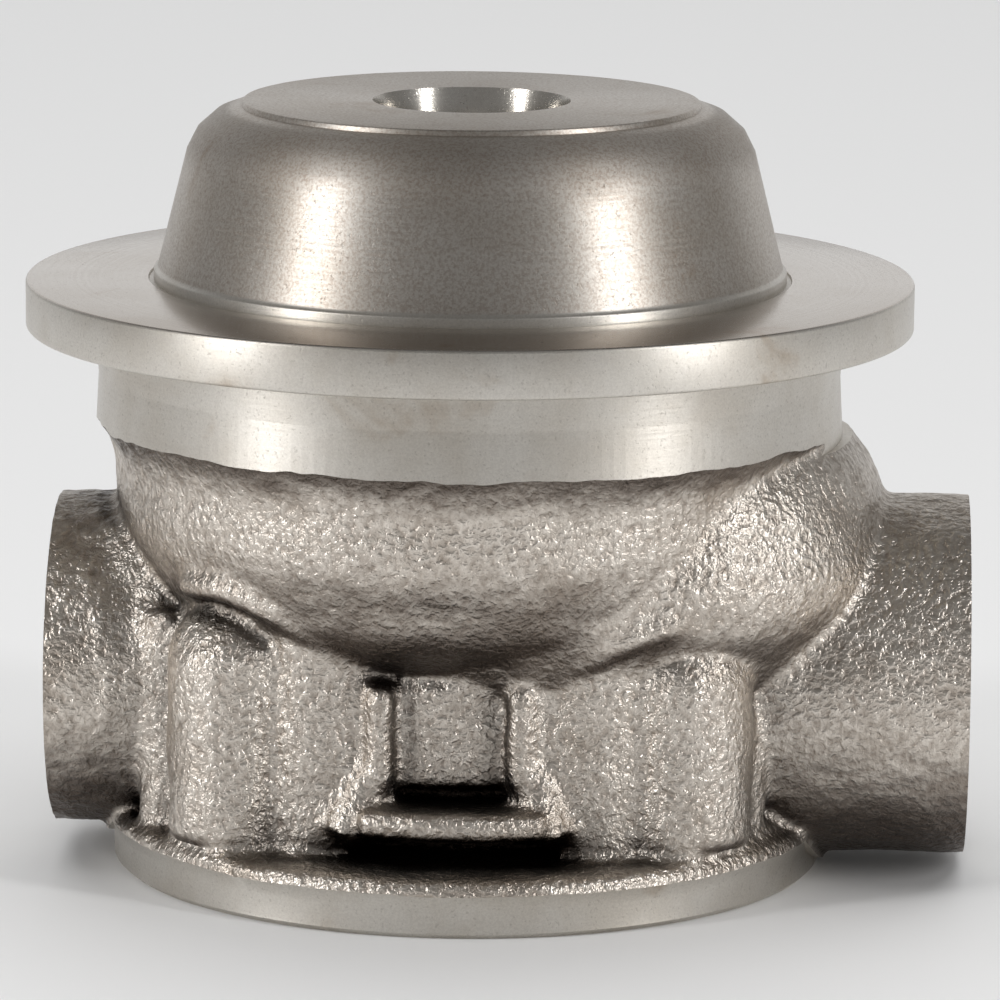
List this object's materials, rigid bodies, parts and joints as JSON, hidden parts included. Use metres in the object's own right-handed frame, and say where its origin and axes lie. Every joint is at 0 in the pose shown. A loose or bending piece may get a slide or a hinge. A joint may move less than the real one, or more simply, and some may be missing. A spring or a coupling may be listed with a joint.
{
  "type": "turbocharger bearing housing",
  "caption": "Cast turbocharger bearing housing with clamp flange, heat shield nose, oil inlet and drain bosses, floating bearings, thrust group and compressor end seal.",
  "frame": {"origin": "on the compressor end face (the face it stands on), in the middle of the whole part's box; the rotor axis is vertical and stands 2.65 mm to -X of it", "axes": "+Z along the rotor axis towards the turbine end nose, +X towards the oil drain face"},
  "size_m": [0.0852, 0.08, 0.0692],
  "materials": {
    "cast_iron": "raw casting with turned faces",
    "bearing_bronze": "fine turned",
    "ground_steel": "ground",
    "sheet_steel": "pressed",
    "spring_steel": "phosphated",
    "screw_steel": "black oxide",
    "seal_rubber": "smooth"
  },
  "bodies": {
    "housing": {"housing_casting": "cast_iron", "compressor_bearing_snap_ring": "spring_steel", "turbine_bearing_inner_snap_ring": "spring_steel", "turbine_bearing_outer_snap_ring": "spring_steel", "thrust_bearing": "bearing_bronze", "thrust_bearing_screw_1": "screw_steel", "thrust_bearing_screw_2": "screw_steel", "thrust_bearing_screw_3": "screw_steel", "thrust_bearing_pin_1": "ground_steel", "thrust_bearing_pin_2": "ground_steel", "oil_deflector": "sheet_steel", "seal_plate": "ground_steel", "seal_plate_o_ring": "seal_rubber", "seal_plate_circlip": "spring_steel", "sleeve_seal_ring_1": "spring_steel", "sleeve_seal_ring_2": "spring_steel"},
    "turbine_bearing": {"turbine_journal_bearing": "bearing_bronze"},
    "compressor_bearing": {"compressor_journal_bearing": "bearing_bronze"},
    "thrust_set": {"thrust_collar": "ground_steel", "thrust_sleeve": "ground_steel"}
  },
  "joints": [
    {"name": "turbine_bearing_spin", "type": "hinge", "parent": "housing", "child": "turbine_bearing", "pos_m": [-0.00265, 0, 0.04395], "axis": [0, 0, 1], "continuous": true},
    {"name": "compressor_bearing_spin", "type": "hinge", "parent": "housing", "child": "compressor_bearing", "pos_m": [-0.00265, 0, 0.02315], "axis": [0, 0, 1], "continuous": true},
    {"name": "thrust_set_spin", "type": "hinge", "parent": "housing", "child": "thrust_set", "pos_m": [-0.00265, 0, 0.0107], "axis": [0, 0, 1], "continuous": true}
  ]
}
